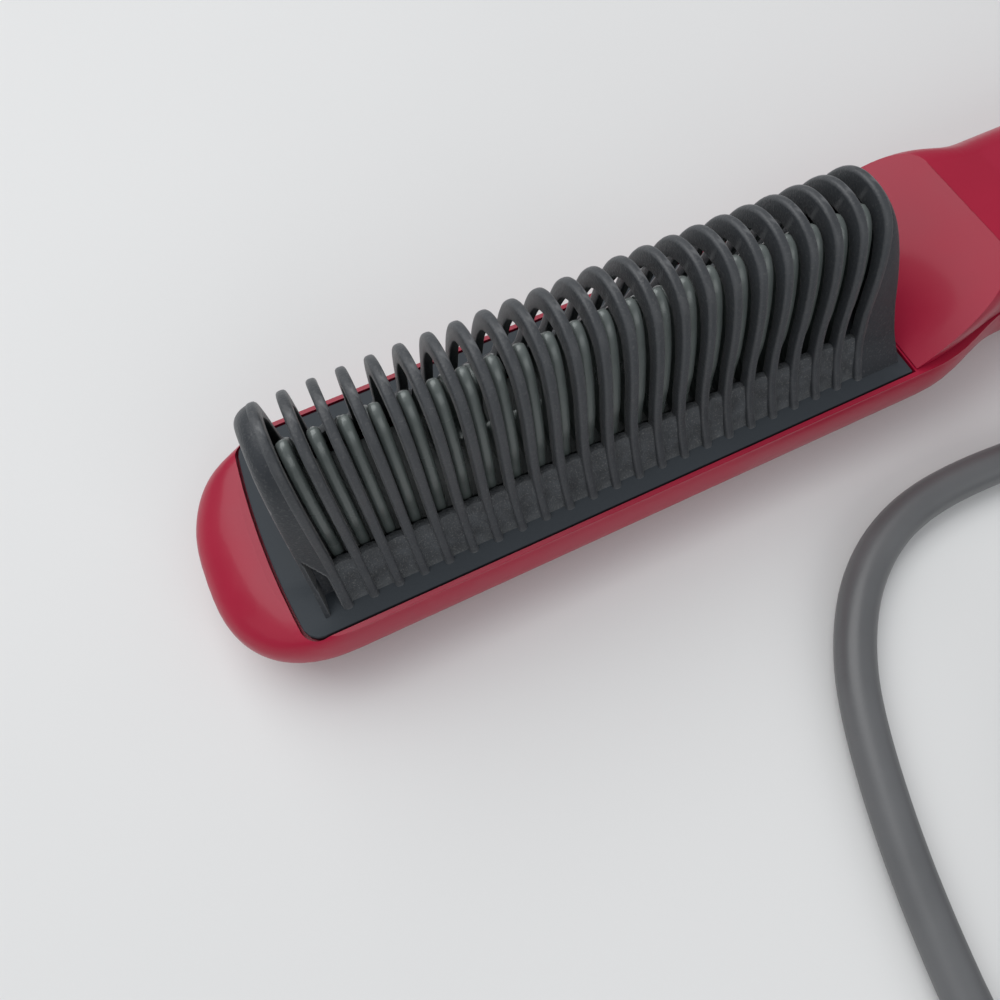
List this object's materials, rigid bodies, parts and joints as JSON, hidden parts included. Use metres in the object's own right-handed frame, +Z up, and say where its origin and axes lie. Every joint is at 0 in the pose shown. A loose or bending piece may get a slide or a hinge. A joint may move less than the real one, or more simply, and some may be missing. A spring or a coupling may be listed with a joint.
{
  "type": "hair straightening brush",
  "caption": "Heated hair straightening brush: a row of metal fins under cool-touch arches on a rounded head, a handle with push buttons, and a cord on a swivel.",
  "frame": {"origin": "under the middle of the object, on the surface that its back rests on", "axes": "+X from the nose along the handle to the cord, +Y to the left of the handle seen from the cord end, +Z up through the comb"},
  "size_m": [0.4137, 0.2093, 0.048],
  "materials": {
    "red_gloss": "moulded, glossy red",
    "guard_black": "heat-resistant nylon, fine satin grain",
    "fin_metal": "grey ceramic coated aluminium",
    "ceramic_white": "sintered ceramic, white",
    "mica": "pressed mica sheet",
    "clamp_steel": "pressed steel",
    "screw_steel": "zinc plated screw",
    "frame_grey": "glass-filled heat-resistant plastic",
    "felt": "ceramic fibre pad",
    "sensor_glass": "glass bead sensor with sleeve",
    "lead_sleeve": "silicone rubber wire sleeve",
    "lens_dark": "smoked display lens",
    "display_black": "epoxy component body",
    "board_green": "circuit board",
    "capacitor_yellow": "film capacitor case",
    "terminal_green": "terminal block moulding",
    "button_grey": "satin button cap",
    "contact_brass": "contact brass",
    "cord_grey": "satin cord sheath",
    "tie_black": "cable tie strap",
    "pin_brass": "nickel plated plug pin"
  },
  "bodies": {
    "housing": {"back_shell": "red_gloss", "handle_cover": "red_gloss", "comb_guard": "guard_black", "heater_fin_block": "fin_metal", "ceramic_heaters": "ceramic_white", "mica_sheet": "mica", "heater_clamp": "clamp_steel", "clamp_screws": "screw_steel", "heater_frame": "frame_grey", "insulation_pad": "felt", "thermistor": "sensor_glass", "thermal_fuse": "clamp_steel", "heater_leads": "lead_sleeve", "mains_leads": "lead_sleeve", "display_lens": "lens_dark", "led_display": "display_black", "control_board": "board_green", "board_screws": "screw_steel", "tact_switches": "display_black", "controller_chip": "display_black", "triac": "display_black", "film_capacitor": "capacitor_yellow", "smoothing_capacitor": "display_black", "terminal_block": "terminal_green", "housing_screws": "screw_steel", "swivel_socket": "guard_black", "brush_holder": "frame_grey", "contact_brushes": "contact_brass", "power_cord": "cord_grey", "cord_coil": "cord_grey", "cord_tie": "tie_black", "plug_body": "cord_grey", "plug_pins": "pin_brass"},
    "power_button": {"power_button": "button_grey"},
    "plus_button": {"plus_button": "button_grey"},
    "minus_button": {"minus_button": "button_grey"},
    "swivel": {"swivel_barrel": "guard_black", "contact_rings": "contact_brass", "strain_relief": "cord_grey"}
  },
  "joints": [
    {"name": "power_button_press", "type": "slide", "parent": "housing", "child": "power_button", "axis": [0, 0, -1], "range_m": [0, 0.0005], "stiffness_N_per_m": 600, "springref_m": -0.0002},
    {"name": "plus_button_press", "type": "slide", "parent": "housing", "child": "plus_button", "axis": [0, 0, -1], "range_m": [0, 0.0005], "stiffness_N_per_m": 600, "springref_m": -0.0002},
    {"name": "minus_button_press", "type": "slide", "parent": "housing", "child": "minus_button", "axis": [0, 0, -1], "range_m": [0, 0.0005], "stiffness_N_per_m": 600, "springref_m": -0.0002},
    {"name": "cord_swivel", "type": "hinge", "parent": "housing", "child": "swivel", "pos_m": [0.1, 0, 0.016], "axis": [1, 0, 0], "continuous": true}
  ]
}
